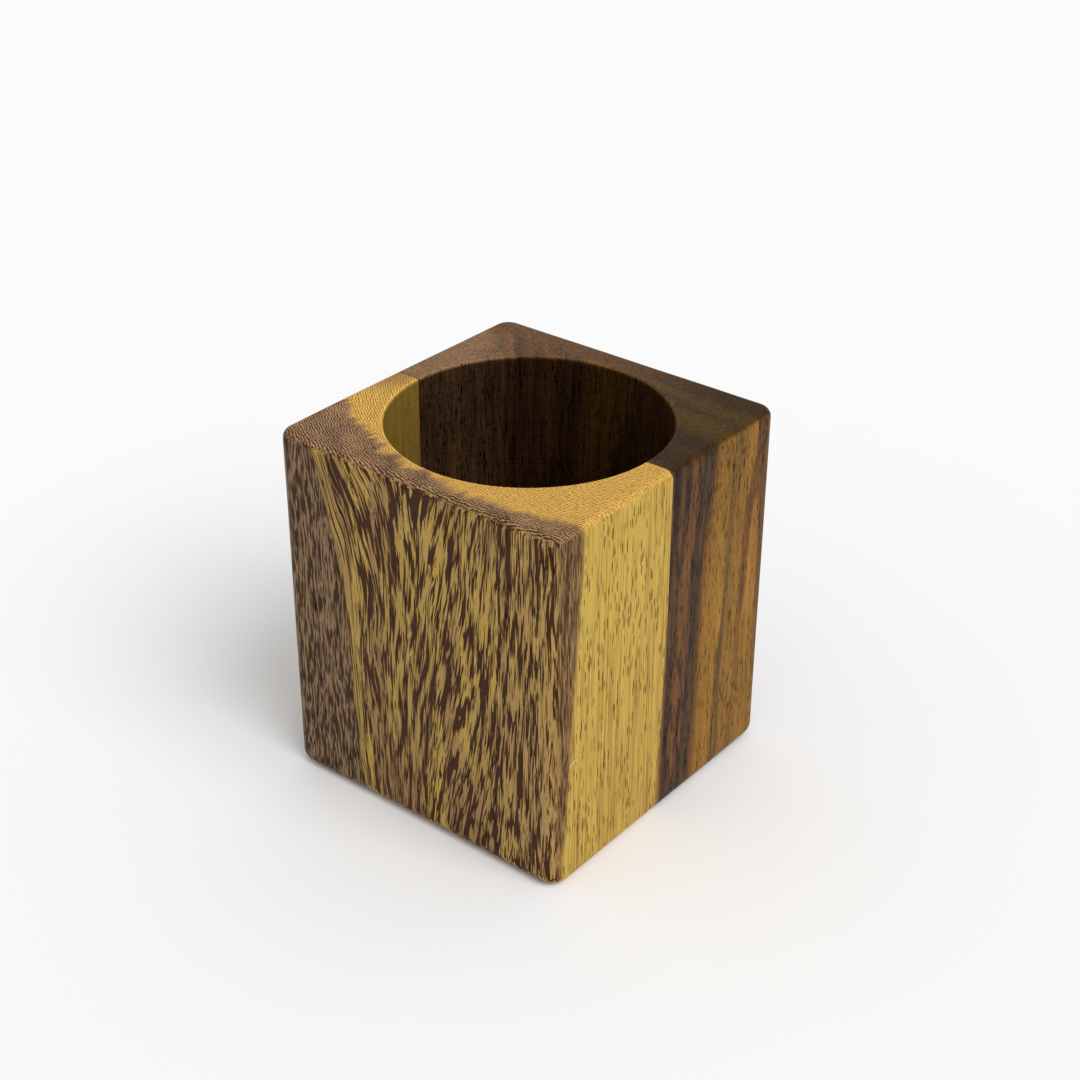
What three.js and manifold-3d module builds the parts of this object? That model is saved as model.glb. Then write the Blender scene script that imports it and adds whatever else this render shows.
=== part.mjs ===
// A wooden pen holder: a block glued up from two solid boards, with one blind round bore in its top.
// Millimetres, +Z up. The origin is the centre of the bottom face. front_board is on the -Y side,
// rear_board on the +Y side, and glue_line is the film between them, on an XZ plane.

import * as THREE from "three";
import { mergeVertices } from "three/addons/utils/BufferGeometryUtils.js";
import Module from "manifold-3d";

const wasm = await Module();
wasm.setup();

// Driving dimensions, in millimetres.
const BLOCK_SIDE = 75;
const BLOCK_HEIGHT = 84;
const UPRIGHT_EDGE_RADIUS = 4;
const TOP_EDGE_RADIUS = 2;
const BOTTOM_EDGE_RADIUS = 3.5;

const BORE_DIAMETER = 61;
const FLOOR_THICKNESS = 9;
const MOUTH_RADIUS = 0.6; // the rim of the bore is eased with a small round
const BORE_CORNER_RADIUS = 0.8; // where the bore's wall meets its floor

const FRONT_BOARD_THICKNESS = 37; // up to the middle of the glue; the rear board has the rest
const GLUE_THICKNESS = 0.3;
const GLUE_SETBACK = 0.2; // the film ends this far below every outer surface

// How finely the curved surfaces are divided.
const UPRIGHT_EDGE_STEPS = 4; // an arc is divided into twice this many segments
const EASED_EDGE_STEPS = 5;
const SMALL_ROUND_STEPS = 4;
const BORE_STEPS = 80;

const CUT_MARGIN = 10; // how far a cutting solid reaches past the block

// Where the boards end, along Y.
const FRONT_FACE_Y = -BLOCK_SIDE / 2;
const REAR_FACE_Y = BLOCK_SIDE / 2;
const GLUE_FRONT_Y = FRONT_FACE_Y + FRONT_BOARD_THICKNESS - GLUE_THICKNESS / 2;
const GLUE_REAR_Y = GLUE_FRONT_Y + GLUE_THICKNESS;

// ---------------------------------------------------------------- geometry helpers

// A closed three.js geometry as a manifold-3d solid.
function toSolid(geometry) {
  const bare = geometry.clone();
  bare.deleteAttribute("normal");
  bare.deleteAttribute("uv");
  const merged = mergeVertices(bare, 1e-4);
  const mesh = new wasm.Mesh({
    numProp: 3,
    vertProperties: new Float32Array(merged.attributes.position.array),
    triVerts: new Uint32Array(merged.index.array),
  });
  return new wasm.Manifold(mesh);
}

// A manifold-3d solid as a flat-shaded three.js geometry.
function toGeometry(solid) {
  const mesh = solid.getMesh();
  const geometry = new THREE.BufferGeometry();
  geometry.setAttribute("position", new THREE.BufferAttribute(mesh.vertProperties, 3));
  geometry.setIndex(new THREE.BufferAttribute(mesh.triVerts, 1));
  const faceted = geometry.toNonIndexed();
  faceted.computeVertexNormals();
  return faceted;
}

// A square outline centred on the origin, with rounded corners.
function roundedSquare(side, radius) {
  const half = side / 2;
  const inner = half - radius;
  const outline = new THREE.Shape();
  outline.moveTo(inner, -half);
  outline.absarc(inner, -inner, radius, -Math.PI / 2, 0, false);
  outline.absarc(inner, inner, radius, 0, Math.PI / 2, false);
  outline.absarc(-inner, inner, radius, Math.PI / 2, Math.PI, false);
  outline.absarc(-inner, -inner, radius, Math.PI, (3 * Math.PI) / 2, false);
  outline.closePath();
  return outline;
}

// An upright prism from bottom to top whose two end edges are rounded by easedRadius.
function easedPrism(side, uprightRadius, easedRadius, bottom, top) {
  const geometry = new THREE.ExtrudeGeometry(roundedSquare(side, uprightRadius), {
    depth: top - bottom - 2 * easedRadius,
    curveSegments: UPRIGHT_EDGE_STEPS,
    bevelEnabled: true,
    bevelThickness: easedRadius,
    bevelSize: easedRadius,
    bevelOffset: -easedRadius,
    bevelSegments: EASED_EDGE_STEPS,
  });
  geometry.translate(0, 0, bottom + easedRadius);
  return toSolid(geometry);
}

// Points on a quarter circle in a lathe profile, from angle start to angle end.
function arcPoints(centreX, centreY, radius, start, end) {
  const points = [];
  for (let i = 0; i <= SMALL_ROUND_STEPS; i++) {
    const angle = start + ((end - start) * i) / SMALL_ROUND_STEPS;
    points.push(new THREE.Vector2(centreX + radius * Math.cos(angle), centreY + radius * Math.sin(angle)));
  }
  return points;
}

// ---------------------------------------------------------------- the shapes

// The whole block before it is bored. With an inset, every face lies that far inside the real one.
// The top and bottom edges are rounded by different amounts, so two prisms share out the ends.
function blockSolid(inset) {
  const side = BLOCK_SIDE - 2 * inset;
  const upright = UPRIGHT_EDGE_RADIUS - inset;
  const bottom = inset;
  const top = BLOCK_HEIGHT - inset;
  const easedTop = easedPrism(side, upright, TOP_EDGE_RADIUS - inset, bottom - CUT_MARGIN, top);
  const easedBottom = easedPrism(side, upright, BOTTOM_EDGE_RADIUS - inset, bottom, top + CUT_MARGIN);
  return easedTop.intersect(easedBottom);
}

// What is drilled out of the block: the bore and the rounding of its mouth, open upwards.
// With an inset, the bore is larger by that much all round.
function boreSolid(inset) {
  const radius = BORE_DIAMETER / 2 + inset;
  const floor = FLOOR_THICKNESS - inset;
  const mouth = BLOCK_HEIGHT - inset;
  const profile = [
    new THREE.Vector2(0, floor),
    ...arcPoints(radius - BORE_CORNER_RADIUS, floor + BORE_CORNER_RADIUS, BORE_CORNER_RADIUS, -Math.PI / 2, 0),
    ...arcPoints(radius + MOUTH_RADIUS, mouth - MOUTH_RADIUS, MOUTH_RADIUS, Math.PI, Math.PI / 2),
    new THREE.Vector2(radius + MOUTH_RADIUS, mouth + CUT_MARGIN),
    new THREE.Vector2(0, mouth + CUT_MARGIN),
  ];
  const geometry = new THREE.LatheGeometry(profile, BORE_STEPS);
  geometry.rotateX(Math.PI / 2);
  return toSolid(geometry);
}

// The slab of space between two planes of constant y, wider and taller than the block.
function slabSolid(yLow, yHigh) {
  const width = BLOCK_SIDE + 2 * CUT_MARGIN;
  const height = BLOCK_HEIGHT + 2 * CUT_MARGIN;
  const geometry = new THREE.BoxGeometry(width, yHigh - yLow, height);
  geometry.translate(0, (yLow + yHigh) / 2, BLOCK_HEIGHT / 2);
  return toSolid(geometry);
}

// The part of the bored block that lies between two planes of constant y.
function slice(yLow, yHigh, inset) {
  const bored = blockSolid(inset).subtract(boreSolid(inset));
  return toGeometry(bored.intersect(slabSolid(yLow, yHigh)));
}

// ---------------------------------------------------------------- the pieces

function piece(name, geometry, color, roughness) {
  const material = new THREE.MeshStandardMaterial({ color, roughness, metalness: 0 });
  const mesh = new THREE.Mesh(geometry, material);
  mesh.name = name;
  return mesh;
}

function frontBoard() {
  const geometry = slice(FRONT_FACE_Y - CUT_MARGIN, GLUE_FRONT_Y, 0);
  return piece("front_board", geometry, 0xb08a3c, 0.55);
}

function rearBoard() {
  const geometry = slice(GLUE_REAR_Y, REAR_FACE_Y + CUT_MARGIN, 0);
  return piece("rear_board", geometry, 0x6a452a, 0.55);
}

function glueLine() {
  const geometry = slice(GLUE_FRONT_Y, GLUE_REAR_Y, GLUE_SETBACK);
  return piece("glue_line", geometry, 0x33261a, 0.6);
}

const penHolder = new THREE.Group();
penHolder.name = "pen_holder";
penHolder.add(frontBoard(), rearBoard(), glueLine());

export default penHolder;
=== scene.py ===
"""The looks of a wooden pen holder: two boards of solid wood, the glue between them, and one round bore.

The wood is a solid texture: colour, pores and relief are worked out from the place inside the board, so
the end grain on the top, the long grain on the sides and the wall of the bore all belong to the same board.
Meshes are in metres. Names that end in _MM, and everything inside the wood materials, are in millimetres.
"""

import math

import bpy
import numpy as np
from mathutils import Euler, Matrix, Vector, noise


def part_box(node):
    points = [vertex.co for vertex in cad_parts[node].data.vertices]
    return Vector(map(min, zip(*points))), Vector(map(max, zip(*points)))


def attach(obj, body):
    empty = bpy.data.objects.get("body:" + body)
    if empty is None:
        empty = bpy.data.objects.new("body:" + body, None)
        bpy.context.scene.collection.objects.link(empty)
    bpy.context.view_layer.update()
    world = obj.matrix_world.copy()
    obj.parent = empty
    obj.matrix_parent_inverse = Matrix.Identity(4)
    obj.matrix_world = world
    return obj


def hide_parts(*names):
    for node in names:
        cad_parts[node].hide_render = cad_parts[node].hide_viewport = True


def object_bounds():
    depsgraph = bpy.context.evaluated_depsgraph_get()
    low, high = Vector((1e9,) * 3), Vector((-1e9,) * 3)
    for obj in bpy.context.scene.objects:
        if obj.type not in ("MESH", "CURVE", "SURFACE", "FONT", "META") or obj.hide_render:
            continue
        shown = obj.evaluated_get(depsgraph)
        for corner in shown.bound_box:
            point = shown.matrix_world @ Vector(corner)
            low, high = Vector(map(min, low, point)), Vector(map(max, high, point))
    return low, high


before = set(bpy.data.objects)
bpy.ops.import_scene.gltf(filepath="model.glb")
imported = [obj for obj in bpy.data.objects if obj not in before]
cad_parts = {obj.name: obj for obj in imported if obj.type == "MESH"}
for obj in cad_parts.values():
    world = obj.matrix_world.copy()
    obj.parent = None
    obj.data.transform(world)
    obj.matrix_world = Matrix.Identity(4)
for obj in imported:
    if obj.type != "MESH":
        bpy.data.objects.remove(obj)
cad_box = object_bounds()

MM = 0.001

# ------------------------------------------------------------------ sizes, in millimetres

HALF_SIDE_MM = cad_box[1][0] / MM
HEIGHT_MM = cad_box[1][2] / MM
FRONT_CUT_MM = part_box("front_board")[1][1] / MM
REAR_CUT_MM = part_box("rear_board")[0][1] / MM

UPRIGHT_RADIUS_MM = 4.0
TOP_RADIUS_MM = 2.0
BOTTOM_RADIUS_MM = 3.5
BORE_RADIUS_MM = 30.5
MOUTH_RADIUS_MM = 0.6
BORE_CORNER_MM = 0.8
FLOOR_MM = 9.0

# ------------------------------------------------------------------ geometry of a board

HALVINGS = 40  # enough to find a crossing to the last digit
SHARPEST_CORNER_MM = 0.2


def past_rounded_square(points, half, radius):
    """How far points lie outside a square of half-width half whose corners have this radius."""
    past = np.abs(points) - (half - radius)[:, None]
    outside = np.hypot(np.maximum(past[:, 0], 0), np.maximum(past[:, 1], 0))
    inside = np.minimum(np.maximum(past[:, 0], past[:, 1]), 0)
    return outside + inside - radius


def where_rays_cross(outside_by, centre, directions):
    """The point where each ray from centre leaves an outline, found by halving an interval."""
    near = np.zeros(len(directions))
    far = np.full(len(directions), 4 * HALF_SIDE_MM)
    for _ in range(HALVINGS):
        middle = (near + far) / 2
        outside = outside_by(centre + directions * middle[:, None]) > 0
        far = np.where(outside, middle, far)
        near = np.where(outside, near, middle)
    return centre + directions * near[:, None]


def outline_points(centre, directions, inset):
    """Plan points where rays leave the block's outside, moved in by an inset for each ray."""
    half = HALF_SIDE_MM - inset
    radius = np.maximum(UPRIGHT_RADIUS_MM - inset, SHARPEST_CORNER_MM)
    return where_rays_cross(lambda p: past_rounded_square(p, half, radius), centre, directions)


def quarter_turn(steps):
    """The angles of the rows over a rounded edge, after the row that it starts from."""
    return np.linspace(0, math.pi / 2, steps)[1:]


def smooth_noise(place, size):
    """Noise from -1 to 1 with features of the given size."""
    return noise.noise(Vector(place) / size)


class BoardGrid:
    """A board as a grid of points. Columns fan out from the middle of the glue joint, and rows follow the
    surface from the bore's floor up its wall, over the top, down the outside and in under the bottom."""

    COLUMN_PITCH_MM = 0.6
    TRIAL_COLUMNS = 3000  # the even spacing of the real columns is read off this many
    SEAM_COLUMNS_MM = (0.05, 0.10)  # extra columns close to the glue, for the chamfer beside it
    SEAM_CHAMFER_MM = 0.10
    EDGE_VARIATION = 0.14  # how much hand sanding varies the radius of the long edges
    EDGE_VARIATION_SIZE_MM = 24.0
    TOP_EDGE_LAYER_MM = 40.0  # the heights in the noise from which the two edges take their variation
    BOTTOM_EDGE_LAYER_MM = -40.0
    INNERMOST = 0.06  # the share of the way out at which the innermost row of a flat lies

    FLOOR_ROWS = 16
    BORE_CORNER_ROWS = 6
    WALL_ROWS = 62
    MOUTH_ROWS = 7
    TOP_ROWS = 19
    TOP_EDGE_ROWS = 10
    BOTTOM_EDGE_ROWS = 12
    BOTTOM_ROWS = 20

    def __init__(self, cut_y, side):
        self.centre = np.array([0.0, cut_y])
        self.directions = self.column_directions(side)
        self.chamfer = np.zeros(len(self.directions))
        self.chamfer[[0, -1]] = self.SEAM_CHAMFER_MM
        self.chamfer[[1, -2]] = self.SEAM_CHAMFER_MM / 3
        self.top_radius = TOP_RADIUS_MM * self.edge_variation(self.TOP_EDGE_LAYER_MM)
        self.bottom_radius = BOTTOM_RADIUS_MM * self.edge_variation(self.BOTTOM_EDGE_LAYER_MM)
        self.rows = []

    def column_directions(self, side):
        """Unit vectors of the columns, spaced so that they meet the outside at equal steps."""
        angles = np.linspace(0, math.pi, self.TRIAL_COLUMNS)
        rays = np.stack([np.cos(angles), side * np.sin(angles)], axis=1)
        places = outline_points(self.centre, rays, np.zeros(len(rays)))
        steps = np.hypot(*np.diff(places, axis=0).T)
        along = np.concatenate([[0], np.cumsum(steps)])
        count = int(along[-1] / self.COLUMN_PITCH_MM)
        even = np.interp(np.linspace(0, along[-1], count), along, angles)
        at_seam = np.array(self.SEAM_COLUMNS_MM) / HALF_SIDE_MM
        chosen = np.concatenate([even[:1], at_seam, even[1:-1], math.pi - at_seam[::-1], even[-1:]])
        return np.stack([np.cos(chosen), side * np.sin(chosen)], axis=1)

    def edge_variation(self, layer):
        """A factor for each column, about 1, for the radius of the long edge at the top or the bottom."""
        places = self.on_outline(np.zeros(len(self.directions)))
        size = self.EDGE_VARIATION_SIZE_MM
        uneven = np.array([smooth_noise((x, y, layer), size) for x, y in places])
        return 1 + self.EDGE_VARIATION * uneven

    def on_outline(self, inset):
        """Plan points on the block's outside, moved in by inset."""
        return outline_points(self.centre, self.directions, inset)

    def on_bore(self, radius):
        """Plan points on a circle about the bore's axis."""
        return where_rays_cross(lambda p: np.hypot(*p.T) - radius, self.centre, self.directions)

    def add_row(self, plan, height):
        """Adds a row of points from their places in plan and their height, or a height for each."""
        heights = np.broadcast_to(height, len(plan))
        self.rows.append(np.column_stack([plan, heights]))

    def build(self):
        """All the rows, as one array of rows x columns x 3."""
        self.add_bore()
        self.add_top()
        self.add_outside()
        self.add_bottom()
        return np.array(self.rows)

    def add_bore(self):
        """Rows out over the bore's floor, up its wall and over its eased mouth."""
        chamfer = self.chamfer
        flat = self.on_bore(BORE_RADIUS_MM - BORE_CORNER_MM + chamfer)
        for share in np.linspace(self.INNERMOST, 1, self.FLOOR_ROWS):
            self.add_row(self.centre + share * (flat - self.centre), FLOOR_MM - chamfer * share)
        for angle in quarter_turn(self.BORE_CORNER_ROWS):
            radius = BORE_RADIUS_MM - BORE_CORNER_MM * (1 - math.sin(angle))
            height = FLOOR_MM + BORE_CORNER_MM * (1 - math.cos(angle))
            self.add_row(self.on_bore(radius + chamfer), height)
        wall = self.on_bore(BORE_RADIUS_MM + chamfer)
        wall_top = HEIGHT_MM - MOUTH_RADIUS_MM
        for z in np.linspace(FLOOR_MM + BORE_CORNER_MM, wall_top, self.WALL_ROWS)[1:]:
            self.add_row(wall, z)
        for angle in quarter_turn(self.MOUTH_ROWS):
            radius = BORE_RADIUS_MM + MOUTH_RADIUS_MM * (1 - math.cos(angle))
            height = HEIGHT_MM - MOUTH_RADIUS_MM * (1 - math.sin(angle)) - chamfer
            self.add_row(self.on_bore(radius + chamfer), height)

    def add_top(self):
        """Rows out over the flat top and round its edge."""
        chamfer = self.chamfer
        inner = self.on_bore(BORE_RADIUS_MM + MOUTH_RADIUS_MM + chamfer)
        outer = self.on_outline(self.top_radius + chamfer)
        for share in np.linspace(0, 1, self.TOP_ROWS)[1:]:
            self.add_row(inner + share * (outer - inner), HEIGHT_MM - chamfer)
        for angle in quarter_turn(self.TOP_EDGE_ROWS):
            inset = self.top_radius * (1 - math.sin(angle))
            height = HEIGHT_MM - self.top_radius * (1 - math.cos(angle)) - chamfer * math.cos(angle)
            self.add_row(self.on_outline(inset + chamfer), height)

    def add_outside(self):
        """Rows down the outside."""
        side = self.on_outline(self.chamfer)
        top = HEIGHT_MM - self.top_radius
        for share in side_steps():
            self.add_row(side, top + share * (self.bottom_radius - top))

    def add_bottom(self):
        """Rows round the bottom edge and in under the block."""
        chamfer = self.chamfer
        for angle in quarter_turn(self.BOTTOM_EDGE_ROWS):
            inset = self.bottom_radius * (1 - math.cos(angle))
            height = self.bottom_radius * (1 - math.sin(angle)) + chamfer * math.sin(angle)
            self.add_row(self.on_outline(inset + chamfer), height)
        outer = self.on_outline(self.bottom_radius + chamfer)
        for share in np.linspace(1, self.INNERMOST, self.BOTTOM_ROWS)[1:]:
            self.add_row(self.centre + share * (outer - self.centre), chamfer * share)


NICK_Y_MM = -30.6  # the middle of a small dent in the +X face near the front upright edge
NICK_Z_MM = 30.6
NICK_REACH_MM = 2.6  # how far the nick reaches along itself, and across
NICK_REACH_ACROSS_MM = 0.55
NICK_DEPTH_MM = 0.28
NICK_SLOPE = 0.22

OUTSIDE_ROWS = 118
NICK_ROWS = 12
NICK_ROWS_REACH = 0.022  # how far the closer rows go above and below the nick, as a share of the height


def side_steps():
    """Where the rows of the outside lie, from 0 at the top to 1 at the bottom; closer at the nick."""
    heights = np.linspace(0, 1, OUTSIDE_ROWS)
    nick = 1 - NICK_Z_MM / HEIGHT_MM
    close = np.linspace(nick - NICK_ROWS_REACH, nick + NICK_ROWS_REACH, NICK_ROWS)
    return np.unique(np.concatenate([heights[1:], close]))


def surface_normals(points):
    """Unit normals of a grid of points."""
    along = np.gradient(points, axis=1)
    down = np.gradient(points, axis=0)
    normals = np.cross(along, down)
    return normals / np.maximum(np.linalg.norm(normals, axis=2), 1e-9)[:, :, None]


FLATNESS_MM = 0.10  # how far hand sanding has taken the faces down from flat
FLATNESS_SIZE_MM = 26.0
NEAR_A_FACE_MM = 0.3  # points this close to a flat of the block count as on it
STANDING_HEIGHT_MM = 0.2  # the bottom below this height stays flat, because the block stands on it
END_COLUMNS = 3  # this many columns at each end of the grid keep to their planes beside the glue


def hand_sanded(points):
    """The grid with its faces a little uneven, as hand sanding leaves them. Points only move inwards."""
    normals = surface_normals(points)
    on_top = points[:, :, 2] > HEIGHT_MM - NEAR_A_FACE_MM
    outward = normals * np.sign(np.sum(normals[:, :, 2] * on_top))
    outward[:, :END_COLUMNS, 1] = 0
    outward[:, -END_COLUMNS:, 1] = 0
    moved = points.copy()
    for row in range(points.shape[0]):
        for column in range(points.shape[1]):
            x, y, z = points[row, column]
            if z < STANDING_HEIGHT_MM:
                continue
            depth = FLATNESS_MM * (0.5 + 0.5 * smooth_noise((x, y, z), FLATNESS_SIZE_MM))
            moved[row, column] -= depth * outward[row, column]
            moved[row, column, 0] -= nick_depth(x, y, z)
    return moved


def along_nick(y, z):
    """Where a place of the +X face is from the nick's middle, as shares of its reach along and across."""
    along = y - NICK_Y_MM
    across = z - NICK_Z_MM - along * NICK_SLOPE
    return along / NICK_REACH_MM, across / NICK_REACH_ACROSS_MM


def nick_depth(x, y, z):
    """How deep the nick is at a point of the surface."""
    if x < HALF_SIDE_MM - NEAR_A_FACE_MM:
        return 0.0
    along, across = along_nick(y, z)
    return NICK_DEPTH_MM * math.exp(-(along**2) - across**2)


def cut_edge(points):
    """The outline of a board's cut face: down one end column of the grid and back up the other."""
    cut_y = points[0, 0, 1]
    floor_point = [[0.0, cut_y, FLOOR_MM]]
    bottom_point = [[0.0, cut_y, 0.0]]
    return np.concatenate([floor_point, points[:, 0], bottom_point, points[::-1, -1]])


def board_mesh(name, points):
    """A closed mesh from a board's grid: its quads, fans over the floor and the bottom, and its cut face."""
    rows, columns = points.shape[:2]
    cut_y = points[0, 0, 1]
    vertices = points.reshape(-1, 3).tolist()
    floor_point = len(vertices)
    vertices.append([0.0, cut_y, FLOOR_MM])
    bottom_point = len(vertices)
    vertices.append([0.0, cut_y, 0.0])
    faces = []
    for row in range(rows - 1):
        for column in range(columns - 1):
            here = row * columns + column
            below = here + columns
            faces.append((here, here + 1, below + 1, below))
    last = (rows - 1) * columns
    for column in range(columns - 1):
        faces.append((floor_point, column + 1, column))
        faces.append((last + column, last + column + 1, bottom_point))
    one_end = [row * columns for row in range(rows)]
    other_end = [row * columns + columns - 1 for row in reversed(range(rows))]
    faces.append((floor_point, *one_end, bottom_point, *other_end))
    return finished_mesh(name, vertices, faces, flat_faces=1)


def film_mesh(name, front_points, rear_points):
    """The glue: a film that fills the gap between the cut faces of the two boards."""
    front = cut_edge(front_points)
    rear = cut_edge(rear_points)
    count = len(front)
    faces = []
    for this in range(count):
        following = (this + 1) % count
        faces.append((this, following, count + following, count + this))
    faces.append(tuple(reversed(range(count))))
    faces.append(tuple(range(count, 2 * count)))
    return finished_mesh(name, np.concatenate([front, rear]).tolist(), faces, flat_faces=2)


def finished_mesh(name, vertices_mm, faces, flat_faces):
    """A mesh in metres, smooth except for its last flat_faces faces, with its normals facing out."""
    mesh = bpy.data.meshes.new(name)
    mesh.from_pydata((np.array(vertices_mm) * MM).tolist(), [], faces)
    mesh.update()
    face_outwards(mesh)
    mesh.polygons.foreach_set("use_smooth", [True] * len(mesh.polygons))
    sharp = set()
    for polygon in mesh.polygons[len(mesh.polygons) - flat_faces :]:
        polygon.use_smooth = False
        sharp.update(polygon.edge_keys)
    for edge in mesh.edges:
        edge.use_edge_sharp = edge.key in sharp
    return mesh


def face_outwards(mesh):
    """Turns every face round if the mesh is inside out."""
    mesh.calc_loop_triangles()
    volume = 0.0
    for triangle in mesh.loop_triangles:
        a, b, c = (mesh.vertices[i].co for i in triangle.vertices)
        volume += a.dot(b.cross(c))
    if volume < 0:
        mesh.flip_normals()


def place_piece(name, mesh, material, node):
    """Puts a mesh in the scene as the piece that stands for a CAD node."""
    piece = bpy.data.objects.new(name, mesh)
    bpy.context.scene.collection.objects.link(piece)
    mesh.materials.append(material)
    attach(piece, "root")
    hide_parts(node)
    return piece


# ------------------------------------------------------------------ fields and node helpers


class Field:
    """A number that varies through the wood: an output socket of a material, with arithmetic."""

    def __init__(self, tree, socket):
        self.tree = tree
        self.socket = socket

    def math(self, operation, *others):
        """The result of a Math node that works on this field and others."""
        node = self.tree.nodes.new("ShaderNodeMath")
        node.operation = operation
        for socket, value in zip(node.inputs, (self, *others)):
            feed(self.tree, value, socket)
        return Field(self.tree, node.outputs[0])

    def __add__(self, other):
        return self.math("ADD", other)

    def __sub__(self, other):
        return self.math("SUBTRACT", other)

    def __rsub__(self, other):
        return (self * -1) + other

    def __mul__(self, other):
        return self.math("MULTIPLY", other)

    def __truediv__(self, other):
        return self.math("DIVIDE", other)

    def __abs__(self):
        return self.math("ABSOLUTE")

    def atleast(self, other):
        """The larger of the two at every place."""
        return self.math("MAXIMUM", other)

    def rise(self, start, end):
        """0 before start, 1 after end, and a smooth step between; it falls if end is the smaller."""
        node = self.tree.nodes.new("ShaderNodeMapRange")
        node.interpolation_type = "SMOOTHSTEP"
        feed(self.tree, self, node.inputs["Value"])
        low, high = min(start, end), max(start, end)
        node.inputs["From Min"].default_value = low
        node.inputs["From Max"].default_value = high
        node.inputs["To Min"].default_value = 0.0 if start < end else 1.0
        node.inputs["To Max"].default_value = 1.0 if start < end else 0.0
        return Field(self.tree, node.outputs["Result"])


def feed(tree, value, socket):
    """Links a field to a socket, or sets the socket to a plain value."""
    if isinstance(value, Field):
        tree.links.new(value.socket, socket)
    else:
        socket.default_value = value


def vector_of(x, y, z):
    """Three fields as one vector."""
    node = x.tree.nodes.new("ShaderNodeCombineXYZ")
    for socket, value in zip(node.inputs, (x, y, z)):
        feed(x.tree, value, socket)
    return Field(x.tree, node.outputs[0])


def clouds(x, y, z, detail=1.0):
    """Noise about 0, mostly from -1 to 1, with features about one unit across."""
    node = x.tree.nodes.new("ShaderNodeTexNoise")
    node.inputs["Scale"].default_value = 1.0
    node.inputs["Detail"].default_value = detail
    feed(x.tree, vector_of(x, y, z), node.inputs["Vector"])
    return Field(x.tree, node.outputs[0]) * 4.0 - 2.0


def linear(red, green, blue):
    """A colour from its 0 to 255 display values, as the linear values that shaders use."""
    shares = [v / 255 for v in (red, green, blue)]
    return [v / 12.92 if v <= 0.04045 else ((v + 0.055) / 1.055) ** 2.4 for v in shares] + [1.0]


MIX_FIRST = 6  # the places of the colour sockets among the inputs and outputs of a Mix node
MIX_SECOND = 7
MIX_RESULT = 2


def blend_colours(factor, first, second):
    """The first colour where factor is 0, and the second where it is 1."""
    node = factor.tree.nodes.new("ShaderNodeMix")
    node.data_type = "RGBA"
    feed(factor.tree, factor, node.inputs["Factor"])
    feed(factor.tree, first, node.inputs[MIX_FIRST])
    feed(factor.tree, second, node.inputs[MIX_SECOND])
    return Field(factor.tree, node.outputs[MIX_RESULT])


def scale_colour(colour, factor):
    """A colour made lighter or darker by a field."""
    node = factor.tree.nodes.new("ShaderNodeVectorMath")
    node.operation = "SCALE"
    feed(factor.tree, colour, node.inputs[0])
    feed(factor.tree, factor, node.inputs["Scale"])
    return Field(factor.tree, node.outputs[0])


def ramp_colours(field, low, high, stops):
    """A colour looked up from a list of (value, colour) stops between low and high."""
    node = field.tree.nodes.new("ShaderNodeValToRGB")
    feed(field.tree, (field - low) / (high - low), node.inputs[0])
    elements = node.color_ramp.elements
    while len(elements) < len(stops):
        elements.new(0.5)
    for element, (value, colour) in zip(elements, stops):
        element.position = (value - low) / (high - low)
        element.color = colour
    return Field(field.tree, node.outputs[0])


def new_material(name):
    """A material with one Principled shader, its node tree and the shader."""
    material = bpy.data.materials.new(name)
    material.use_nodes = True
    tree = material.node_tree
    shader = tree.nodes["Principled BSDF"]
    return material, tree, shader


def place_in_wood(tree):
    """The fields x, y and z in millimetres, and how much the surface is end grain and faces sideways."""
    coordinates = tree.nodes.new("ShaderNodeTexCoord")
    place = tree.nodes.new("ShaderNodeSeparateXYZ")
    normal = tree.nodes.new("ShaderNodeSeparateXYZ")
    tree.links.new(coordinates.outputs["Object"], place.inputs[0])
    tree.links.new(coordinates.outputs["Normal"], normal.inputs[0])
    x, y, z = (Field(tree, output) / MM for output in place.outputs)
    end_grain = abs(Field(tree, normal.outputs[2])).rise(0.35, 0.80)
    side_grain = abs(Field(tree, normal.outputs[0])).rise(0.55, 0.95)
    return x, y, z, end_grain, side_grain


def distance_from(x, y, centre):
    """Distance from an upright line, such as the middle of the tree."""
    dx = x - centre[0]
    dy = y - centre[1]
    return (dx * dx + dy * dy).math("SQRT")


def pores(x, y, z, width, length, size):
    """1 in the pores of the wood, which are short dashes along the grain and dots on end grain."""
    node = x.tree.nodes.new("ShaderNodeTexVoronoi")
    node.inputs["Scale"].default_value = 1.0
    feed(x.tree, vector_of(x / width, y / width, z / length), node.inputs["Vector"])
    distance = Field(x.tree, node.outputs["Distance"])
    chance = x.tree.nodes.new("ShaderNodeSeparateColor")
    x.tree.links.new(node.outputs["Color"], chance.inputs[0])
    reach = Field(x.tree, chance.outputs[0]) * size
    return (reach - distance).rise(0.0, 0.06)


def add_relief(tree, shader, height_mm):
    """Bump from a height in millimetres."""
    node = tree.nodes.new("ShaderNodeBump")
    node.inputs["Strength"].default_value = 1.0
    node.inputs["Distance"].default_value = MM
    feed(tree, height_mm, node.inputs["Height"])
    tree.links.new(node.outputs[0], shader.inputs["Normal"])


# ------------------------------------------------------------------ what both boards share

BAND_PITCH_MM = 0.56  # the pitch of the fine bands within the growth rings
WOOD_SPECULAR = 0.08  # a thin oil finish on open pores reflects less than a smooth surface


def bore_shade_and_drilling_mask(x, y, z):
    """1 on the bore's wall and floor: rougher where the drill cut, and darkened there with painted shade."""
    inside = distance_from(x, y, (0.0, 0.0)).rise(BORE_RADIUS_MM + 0.5, BORE_RADIUS_MM + 0.1)
    return inside * z.rise(HEIGHT_MM - 0.1, HEIGHT_MM - 1.0) * z.rise(1.0, 2.0)


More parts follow.
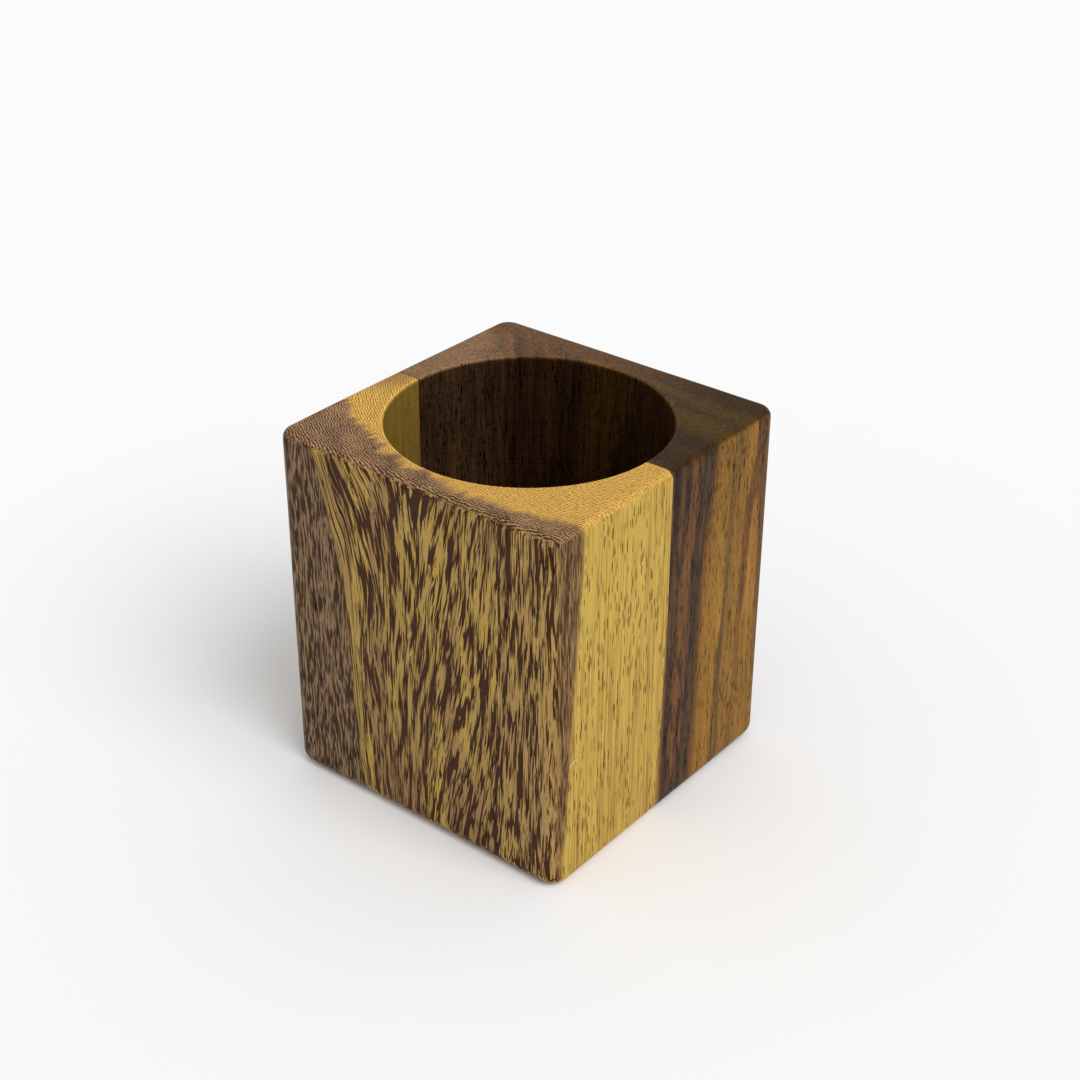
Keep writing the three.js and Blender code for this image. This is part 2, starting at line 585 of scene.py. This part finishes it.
def painted_rim_highlight(x, y, z):
    """1 on the rounded mouth of the bore, which is lightened there as a painted highlight."""
    inside = distance_from(x, y, (0.0, 0.0)).rise(BORE_RADIUS_MM + 1.0, BORE_RADIUS_MM + 0.4)
    return inside * z.rise(HEIGHT_MM - 1.0, HEIGHT_MM - 0.4)


def ring_bands(x, y, z, ring):
    """The fine bands within the growth rings, from -1 to 1, as wavy lines that follow the rings."""
    wobble = clouds(x / 1.4, y / 1.4, z / 18) * 2.4
    return (ring * (2 * math.pi / BAND_PITCH_MM) + wobble).math("SINE")


def nicked(x, y, z):
    """1 where the nick has broken through the darkened surface."""
    along, across = along_nick(y, z)
    in_nick = (along * along + across * across).rise(1.3, 0.3)
    return in_nick * x.rise(HALF_SIDE_MM - 1.0, HALF_SIDE_MM - 0.6)


def drill_marks(z):
    """Fine rings that the drill left round the bore, as a height from -1 to 1."""
    return clouds(z / 0.35, z / 2.7, z / 9.0)


class Wood:
    """A wood material in the making: its shader, the place in the wood, and the fields all wood has."""

    def __init__(self, name):
        self.material, self.tree, self.shader = new_material(name)
        self.x, self.y, self.z, self.end_grain, self.side_grain = place_in_wood(self.tree)
        self.drop = (HEIGHT_MM - self.z) / HEIGHT_MM
        self.slow = self.grain(5.0, 30.0)
        # the bore's wall and floor: real roughness and drill marks, and painted shade in the colour
        self.bore_shade_and_drilling = bore_shade_and_drilling_mask(self.x, self.y, self.z)
        # the bore's rounded mouth, lightened as a painted highlight
        self.rim_highlight = painted_rim_highlight(self.x, self.y, self.z)

    def grain(self, width, length, detail=1.0):
        """Noise about 0 in streaks of this width and length, which run up the wood."""
        return clouds(self.x / width, self.y / width, self.z / length, detail)

    def finish(self, colour, roughness, relief_mm):
        """Feeds the shader and gives the finished material."""
        feed(self.tree, colour, self.shader.inputs["Base Color"])
        feed(self.tree, roughness, self.shader.inputs["Roughness"])
        self.shader.inputs["Specular IOR Level"].default_value = WOOD_SPECULAR
        add_relief(self.tree, self.shader, relief_mm)
        return self.material


# ------------------------------------------------------------------ the wood of the front board

FRONT_PITH_MM = (12.0, 39.0)  # the growth rings of the front board are arcs about this upright line
LEFT_LEAN_MM = 10.6  # how far the grain left of the middle leans over
STRAIGHT_FROM_MM = 36.0  # between these two heights the grain left of the middle runs straight up
STRAIGHT_TO_MM = 48.0
RIGHT_LEAN_MM = 21.0  # how far the grain right of the middle leans over, from the top to the bottom
RIGHT_CROWDING_MM = 28.0  # the extra width of grain that is crowded in towards the right
FACE_RING_MM = 60.0  # distances round the growth rings are measured along a ring of this radius
FLAME_JITTER_MM = 5.5  # how far neighbouring flames are shifted up and down against each other
SKIN_THICKNESS_MM = 3.8  # where the skin is thinnest, at the top and in front of the pith
THINNEST_SKIN_MM = 2.4
SKIN_CURVE_MM = 146.0  # twice the radius of the skin's inner side, which curves away from the face
SKIN_TAPER = 0.075  # how fast the skin thins from the top down

DARK_FLAME = linear(64, 37, 19)
LIGHT_FLAME = linear(176, 145, 76)
YELLOW_FLAME = linear(192, 154, 60)
TAN_FLAME = linear(152, 119, 74)
DULL_FLAME = linear(176, 141, 84)
FINE_DARK = linear(58, 37, 19)
FINE_LIGHT = linear(138, 110, 80)
SKIN_BROWN = linear(128, 97, 62)
SKIN_DARK = linear(78, 54, 34)
GOLD = linear(190, 158, 72)
GOLD_BROWN = linear(156, 120, 54)
END_GOLD = linear(228, 180, 88)
END_GOLD_BROWN = linear(134, 90, 38)
END_SKIN_LIGHT = linear(180, 140, 98)
END_SKIN_DARK = linear(66, 45, 32)
FRESH_WOOD = linear(208, 174, 108)
HEART_BROWN = linear(122, 88, 38)
HEART_RED = linear(88, 46, 32)
# painted shade: the dull gold that the bore's wall is darkened towards
BORE_SHADE_GOLD = linear(126, 100, 28)


class FrontWood(Wood):
    """Golden wood under a dark skin that the flat face cuts into flames."""

    def __init__(self, name):
        super().__init__(name)
        self.across = self.before_leaning()
        self.around = self.way_round_the_pith()
        self.jitter = self.leaning_grain(0.6, 30.0) * FLAME_JITTER_MM
        self.flames = self.flame_noise()
        self.streaks = self.leaning_grain(0.4, 10.0)
        self.thin_lines = self.leaning_grain(0.28, 16.0)
        self.fine_lines = self.grain(0.5, 26.0, detail=2.0)
        self.fibres = self.grain(0.22, 9.0)
        self.stipple = self.grain(0.4, 4.0)
        ring = distance_from(self.x, self.y, FRONT_PITH_MM)
        self.bands = ring_bands(self.x, self.y, self.z, ring)
        self.pore = self.all_pores()
        self.fine_zone = self.across.rise(-24.0, -25.4)
        self.light = self.light_wood()
        self.skin = self.dark_skin()

    def before_leaning(self):
        """The x that the grain here would have had if it ran straight up."""
        x, z = self.x, self.z
        above = (z - STRAIGHT_TO_MM).atleast(0.0) / (HEIGHT_MM - STRAIGHT_TO_MM)
        below = (STRAIGHT_FROM_MM - z).atleast(0.0) / STRAIGHT_FROM_MM
        left = x.rise(-HALF_SIDE_MM, -18.0) * x.rise(10.0, -16.0)
        left_lean = left * (below * 0.4 - above * above + 0.5)
        less_at_the_edge = (x - 6.0).atleast(0.0) * -0.74
        right_lean = x.rise(-20.0, 14.0) * (self.drop * (less_at_the_edge + RIGHT_LEAN_MM) - 3.0)
        upright = x - left_lean * LEFT_LEAN_MM + right_lean
        return upright + x.rise(6.0, 50.0) * RIGHT_CROWDING_MM + self.grain(6.0, 20.0) * 0.7

    def way_round_the_pith(self):
        """How far round the growth rings the grain lies, in millimetres."""
        from_pith = self.across - FRONT_PITH_MM[0]
        before_pith = FRONT_PITH_MM[1] - self.y
        return from_pith.math("ARCTAN2", before_pith) * FACE_RING_MM

    def leaning_grain(self, width, length):
        """Noise in streaks of this width and length, which follow the leaning grain."""
        return clouds(self.across / width, self.y / width, self.z / length)

    def flame_noise(self):
        """Noise in flames that are wide along the rings, thin through them and long up the grain."""
        ring = distance_from(self.across, self.y, FRONT_PITH_MM)
        return clouds(ring / 0.9, self.around / 1.8, (self.z + self.jitter) / 5.2)

    def all_pores(self):
        """Short pores in crowds, and a few long ones; both are weaker on end grain."""
        crowd = self.grain(3.0, 12.0).rise(-0.9, 0.5)
        short = pores(self.x, self.y, self.z, 0.5, 3.2, 0.5) * crowd
        long = pores(self.x, self.y, self.z, 1.4, 60.0, 0.12)
        return short.atleast(long) * (1.0 - self.end_grain * 0.5)

    def light_wood(self):
        """1 in the light flames and 0 in the dark ones; thin lines take their place in the pale streak."""
        pale_streak = self.across.rise(-18.5, -23.0) * (1.0 - self.fine_zone)
        flames = self.flames + self.streaks * 0.45
        lines = self.thin_lines * 1.2 + self.flames * 0.2 + 0.2
        figure = flames * (1.0 - pale_streak) + lines * pale_streak
        return (figure + self.slow * 0.1).rise(-0.10, 0.15)

    def dark_skin(self):
        """1 in the skin and 0 in the gold. On end grain the boundary is fingered, most on the left."""
        from_pith = self.x - FRONT_PITH_MM[0]
        thickness = from_pith * from_pith / SKIN_CURVE_MM + SKIN_THICKNESS_MM
        thickness = thickness - (HEIGHT_MM - self.z) * SKIN_TAPER
        finger_length = self.x.rise(22.0, -8.0) * 1.9 + 0.7
        fingers = clouds(self.around / 2.4, self.y / 14, self.z / 40) * self.end_grain * finger_length
        depth = self.y + HALF_SIDE_MM
        ragged = thickness.atleast(THINNEST_SKIN_MM) + fingers + self.fine_lines * 0.4 + self.slow * 0.3
        inside = ragged - depth
        on_end_grain = (inside + self.bands * 0.5 + self.stipple * 0.8).rise(-1.3, 1.3)
        return blend_colours(self.end_grain, inside.rise(-0.6, 0.6), on_end_grain)

    def flame_colour(self):
        """Dark wood with light flames, which are yellower in places and duller towards the right."""
        flame = blend_colours(self.slow.rise(-0.7, 0.5), TAN_FLAME, LIGHT_FLAME)
        flame = blend_colours((self.flames * 0.6 + self.slow).rise(0.6, 1.6), flame, YELLOW_FLAME)
        flame = blend_colours(self.x.rise(15.0, 33.0) * 0.6, flame, DULL_FLAME)
        return blend_colours(self.light, DARK_FLAME, flame)

    def skin_colour(self):
        """Flames on the flat face, dashes left of them and on the narrow faces, and dots on end grain."""
        dashes = clouds(self.x / 0.5, self.y / 0.5, (self.z + self.jitter * 0.3) / 4.0)
        dashes = (dashes + self.streaks * 0.4).rise(-0.35, 0.45)
        fine = blend_colours(dashes, FINE_DARK, FINE_LIGHT)
        narrow_face = blend_colours(dashes, SKIN_DARK, SKIN_BROWN)
        dots = (self.bands + self.stipple * 1.3 + self.slow * 0.5).rise(-1.0, 1.5)
        colour = blend_colours(self.fine_zone, self.flame_colour(), fine)
        colour = blend_colours(self.side_grain * 0.75, colour, narrow_face)
        return blend_colours(self.end_grain, colour, blend_colours(dots, END_SKIN_DARK, END_SKIN_LIGHT))

    def gold_colour(self):
        """The gold under the skin, with fine lines on the long grain and brown dots on end grain."""
        lines = (self.slow * 0.3 + self.fine_lines * 1.1 - self.drop * 0.15).rise(-1.2, 0.4)
        dots = (self.bands * 1.2 + self.stipple * 1.1).rise(0.7, -1.5)
        near_heart = self.y.rise(-14.0, -3.0) * self.x.rise(-27.0, -36.0)
        gold = blend_colours(lines, GOLD_BROWN, GOLD)
        gold = blend_colours(self.end_grain, gold, END_GOLD)
        gold = blend_colours(self.end_grain * dots, gold, END_GOLD_BROWN)
        gold = blend_colours(near_heart * 0.7, gold, SKIN_BROWN)
        return scale_colour(gold, self.fine_lines * 0.1 + self.thin_lines * 0.05 - self.drop * 0.08 + 1.01)

    def stained_by_heart(self, colour):
        """The colour with a brown stain and a red line beside the glue, low on the faces."""
        from_joint = self.y - FRONT_CUT_MM
        ragged = self.slow * 0.4 + self.fine_lines * 0.3
        stain = (from_joint - self.z.rise(0.0, 60.0) * 3.0 + ragged).rise(-3.0, -1.2)
        line = from_joint.rise(-1.0, -0.3) * self.z.rise(50.0, 20.0)
        long_grain = 1.0 - self.end_grain
        colour = blend_colours(stain * long_grain, colour, HEART_BROWN)
        return blend_colours(line * long_grain, colour, HEART_RED)

    def shade(self):
        """How light the wood is for its colour: darker in the pores, painted shade in the bore, a painted
        highlight at its mouth.
        """
        in_pores = self.pore * (0.62 - self.bore_shade_and_drilling * 0.42)
        return self.fibres * 0.11 + 1.0 - in_pores - self.bore_shade_and_drilling * 0.25 + self.rim_highlight * 0.15


def front_wood():
    """Golden wood with dark flames, a nick, and painted shade in the bore."""
    wood = FrontWood("front_wood")
    colour = blend_colours(wood.skin, wood.gold_colour(), wood.skin_colour())
    colour = wood.stained_by_heart(colour)
    colour = blend_colours(nicked(wood.x, wood.y, wood.z) * 0.7, colour, FRESH_WOOD)
    # painted shade on the bore's wall and floor, blended towards a dull gold
    colour = blend_colours(wood.bore_shade_and_drilling * 0.6, colour, BORE_SHADE_GOLD)
    light_skin = wood.light * wood.skin
    roughness = light_skin * -0.05 + wood.fibres * 0.04 + wood.pore * 0.2 + wood.bore_shade_and_drilling * 0.1 + 0.50
    drilled = wood.bore_shade_and_drilling * drill_marks(wood.z) * 0.03
    relief_mm = wood.fibres * 0.010 - wood.pore * 0.06 + light_skin * 0.01 + drilled
    return wood.finish(scale_colour(colour, wood.shade()), roughness, relief_mm)


# ------------------------------------------------------------------ the wood of the rear board

REAR_PITH_MM = (33.0, 80.0)  # the growth rings of the rear board are arcs about this upright line
REAR_TAPER_MM = 2.2  # how much wider the rings are at the bottom than at the top
REAR_BEND_MM = 2.6  # how far the rings bend back towards the top
REAR_RINGS = [  # distance from the pith in millimetres, and the colour of the wood there
    (44.0, linear(130, 93, 36)),
    (51.6, linear(150, 104, 42)),
    (52.3, linear(96, 62, 28)),
    (54.0, linear(104, 68, 32)),
    (54.8, linear(134, 95, 36)),
    (58.6, linear(126, 91, 34)),
    (59.6, linear(86, 62, 32)),
    (60.6, linear(100, 72, 34)),
    (61.6, linear(138, 100, 34)),
    (66.0, linear(132, 93, 32)),
    (67.4, linear(104, 66, 28)),
    (68.6, linear(56, 41, 26)),
    (70.0, linear(82, 58, 32)),
    (71.5, linear(52, 39, 27)),
    (73.5, linear(98, 62, 34)),
    (75.5, linear(104, 68, 36)),
    (77.0, linear(64, 43, 26)),
    (79.0, linear(88, 61, 34)),
    (80.8, linear(40, 25, 16)),
    (82.2, linear(86, 58, 34)),
    (82.8, linear(132, 86, 40)),
    (83.6, linear(114, 76, 38)),
    (84.6, linear(96, 70, 46)),
    (90.0, linear(140, 108, 74)),
]
PURPLE_BROWN = linear(32, 24, 20)
RED_BROWN = linear(112, 62, 30)
REAR_EDGE_BROWN = linear(92, 62, 28)
REAR_ORANGE = linear(130, 92, 34)
REAR_END_PALE = linear(116, 86, 62)
# the end grain's dark colour towards the right: partly the wood's own, partly a painted shadow
REAR_END_DARK_AND_SHADOW = linear(46, 33, 12)
# painted shade: the deep brown that the bore's wall is darkened towards
BORE_SHADE_BROWN = linear(52, 27, 9)


class RearWood(Wood):
    """Darker wood in broad brown and orange growth rings."""

    def __init__(self, name):
        super().__init__(name)
        self.streaks = self.grain(0.9, 14.0, detail=2.0)
        self.fibres = self.grain(0.25, 6.0)
        self.pore = pores(self.x, self.y, self.z, 0.5, 3.0, 0.45)
        self.ring = self.ring_distance()

    def ring_distance(self):
        """The distance from the pith, for rings that taper, bend and waver."""
        bend = self.y.rise(14.0, 20.0) * 1.2 + self.z.rise(46.0, HEIGHT_MM) * REAR_BEND_MM
        tapered = distance_from(self.x, self.y - bend, REAR_PITH_MM) - self.drop * REAR_TAPER_MM
        return tapered + self.slow * 1.1 + self.streaks * 0.7

    def ring_colour(self):
        """The colours of the growth rings, faded to orange in places and brown at the rear edge."""
        y, z = self.y, self.z
        low, high = REAR_RINGS[0][0], REAR_RINGS[-1][0]
        faded_low = y.rise(23.0, 25.0) * z.rise(42.0, 32.0) * 0.8
        faded_high = y.rise(25.0, 23.0) * z.rise(40.0, 60.0) * 0.5
        faded = faded_low + faded_high
        edge = (y - self.drop * 4.5 + self.slow * 0.6 + self.streaks * 0.4).rise(29.8, 31.8)
        colour = ramp_colours(self.ring, low, high, REAR_RINGS)
        colour = blend_colours(faded * self.ring.rise(64.0, 62.0), colour, REAR_ORANGE)
        return blend_colours(edge, colour, REAR_EDGE_BROWN)

    def clouded(self, colour):
        """The colour with a red blush all over, and purple-brown blotches in the dark rings."""
        blush = self.grain(1.8, 26.0, detail=2.0).rise(-0.2, 1.2)
        dark_rings = self.ring.rise(67.5, 70.0) * self.ring.rise(86.0, 80.0)
        blotch = self.grain(1.6, 9.0).rise(-0.1, 0.8) * dark_rings
        colour = blend_colours(blush * 0.3, colour, RED_BROWN)
        return blend_colours(blotch * (0.8 - self.end_grain * 0.7), colour, PURPLE_BROWN)

    def shade(self):
        """How light the wood is for its colour: streaked, darker in the pores, painted shade in the bore, a
        painted highlight at its mouth.
        """
        speckle = self.grain(0.3, 1.0)
        bands = ring_bands(self.x, self.y, self.z, self.ring)
        shade = self.streaks * 0.32 + self.fibres * 0.2 + speckle * 0.22 + self.slow * 0.08
        shade = shade - self.pore * 0.5 - self.bore_shade_and_drilling * 0.42 + self.rim_highlight * 0.15
        shade = shade + (self.grain(0.35, 4.0) * 0.25 + bands * 0.15) * self.end_grain
        return shade - self.z.rise(50.0, 76.0) * self.side_grain * 0.15 + 1.04


def rear_wood():
    """Brown and orange wood, darker on end grain towards the right, partly as a painted shadow, and with
    painted shade in the bore.
    """
    wood = RearWood("rear_wood")
    # end grain pale on the left and dark on the right, where the dark is partly a painted shadow
    end_colour_and_shadow = blend_colours(wood.x.rise(-30.0, 30.0), REAR_END_PALE, REAR_END_DARK_AND_SHADOW)
    end_share = wood.end_grain * (wood.x.rise(-20.0, 20.0) * 0.4 + 0.4)
    colour = wood.clouded(wood.ring_colour())
    colour = blend_colours(end_share, colour, end_colour_and_shadow)
    # painted shade on the bore's wall and floor, blended towards a deep brown
    colour = blend_colours(wood.bore_shade_and_drilling * 0.8, colour, BORE_SHADE_BROWN)
    roughness = wood.fibres * 0.05 + wood.pore * 0.2 + wood.bore_shade_and_drilling * 0.1 + 0.48
    relief_mm = wood.fibres * 0.010 - wood.pore * 0.04 + wood.bore_shade_and_drilling * drill_marks(wood.z) * 0.03
    return wood.finish(scale_colour(colour, wood.shade()), roughness, relief_mm)


# ------------------------------------------------------------------ the dried glue

GLUE_DARK = linear(44, 28, 16)
GLUE_LIGHT = linear(66, 44, 24)


def dried_glue():
    """Brown wood glue, a little glossy where it was squeezed out and scraped off."""
    material, tree, shader = new_material("dried_glue")
    x, y, z, _, _ = place_in_wood(tree)
    uneven = clouds(x / 1.5, y / 1.5, z / 1.5, detail=2.0)
    colour = blend_colours(uneven.rise(-1.0, 1.0), GLUE_DARK, GLUE_LIGHT)
    feed(tree, colour, shader.inputs["Base Color"])
    feed(tree, uneven * 0.1 + 0.42, shader.inputs["Roughness"])
    add_relief(tree, shader, uneven * 0.02)
    return material


# ------------------------------------------------------------------ camera, floor and light

CAMERA_PLACE = (0.231718, -0.284288, 0.266028)  # in metres, solved from the block's corners
CAMERA_AZIMUTH = math.radians(38.824)
CAMERA_ELEVATION = math.radians(29.989)
CAMERA_ROLL = math.radians(0.167)
CAMERA_LENS_MM = 65.211
CAMERA_SENSOR_MM = 36.0
NEAREST_SEEN = 0.01
FLOOR_HALF_SIDE = 40.0
FLOOR_WHITE = (0.93, 0.93, 0.93, 1.0)
SURROUNDINGS_STRENGTH = 0.62
KEY_STRENGTH = 1.75
KEY_SOFTNESS = math.radians(40)
KEY_FROM = (0.65, -0.10, 0.75)  # the direction that the key light comes from


def add_camera():
    """A camera where the photograph was taken from."""
    camera = bpy.data.cameras.new("camera")
    camera.lens = CAMERA_LENS_MM
    camera.sensor_width = CAMERA_SENSOR_MM
    camera.clip_start = NEAREST_SEEN
    holder = bpy.data.objects.new("camera", camera)
    holder.location = CAMERA_PLACE
    aim = Euler((math.pi / 2 - CAMERA_ELEVATION, 0, CAMERA_AZIMUTH)).to_matrix()
    holder.rotation_euler = (aim @ Matrix.Rotation(CAMERA_ROLL, 3, "Z")).to_euler()
    bpy.context.scene.collection.objects.link(holder)
    bpy.context.scene.camera = holder


def add_floor():
    """A plain pale floor."""
    side = FLOOR_HALF_SIDE
    mesh = bpy.data.meshes.new("floor")
    corners = [(-side, -side, 0), (side, -side, 0), (side, side, 0), (-side, side, 0)]
    mesh.from_pydata(corners, [], [(0, 1, 2, 3)])
    floor = bpy.data.objects.new("floor", mesh)
    bpy.context.scene.collection.objects.link(floor)
    material, _, shader = new_material("floor")
    shader.inputs["Base Color"].default_value = FLOOR_WHITE
    shader.inputs["Roughness"].default_value = 0.9
    shader.inputs["Specular IOR Level"].default_value = 0.0
    mesh.materials.append(material)


def add_lights():
    """Even white surroundings and one soft key light from the right."""
    world = bpy.data.worlds.new("studio")
    world.use_nodes = True
    background = world.node_tree.nodes["Background"]
    background.inputs["Color"].default_value = (1.0, 1.0, 1.0, 1.0)
    background.inputs["Strength"].default_value = SURROUNDINGS_STRENGTH
    bpy.context.scene.world = world
    key = bpy.data.lights.new("key", "SUN")
    key.energy = KEY_STRENGTH
    key.angle = KEY_SOFTNESS
    holder = bpy.data.objects.new("key", key)
    holder.rotation_euler = Vector(KEY_FROM).to_track_quat("Z", "Y").to_euler()
    bpy.context.scene.collection.objects.link(holder)


# ------------------------------------------------------------------ the model

bpy.context.scene.view_settings.view_transform = "Standard"

front_points = hand_sanded(BoardGrid(FRONT_CUT_MM, -1).build())
rear_points = hand_sanded(BoardGrid(REAR_CUT_MM, 1).build())

front_mesh = board_mesh("front_board_wood", front_points)
front = place_piece("front_board_wood", front_mesh, front_wood(), "front_board")

rear_mesh = board_mesh("rear_board_wood", rear_points)
rear = place_piece("rear_board_wood", rear_mesh, rear_wood(), "rear_board")

glue_mesh = film_mesh("glue_film", front_points, rear_points)
film = place_piece("glue_film", glue_mesh, dried_glue(), "glue_line")

add_camera()
add_floor()
add_lights()
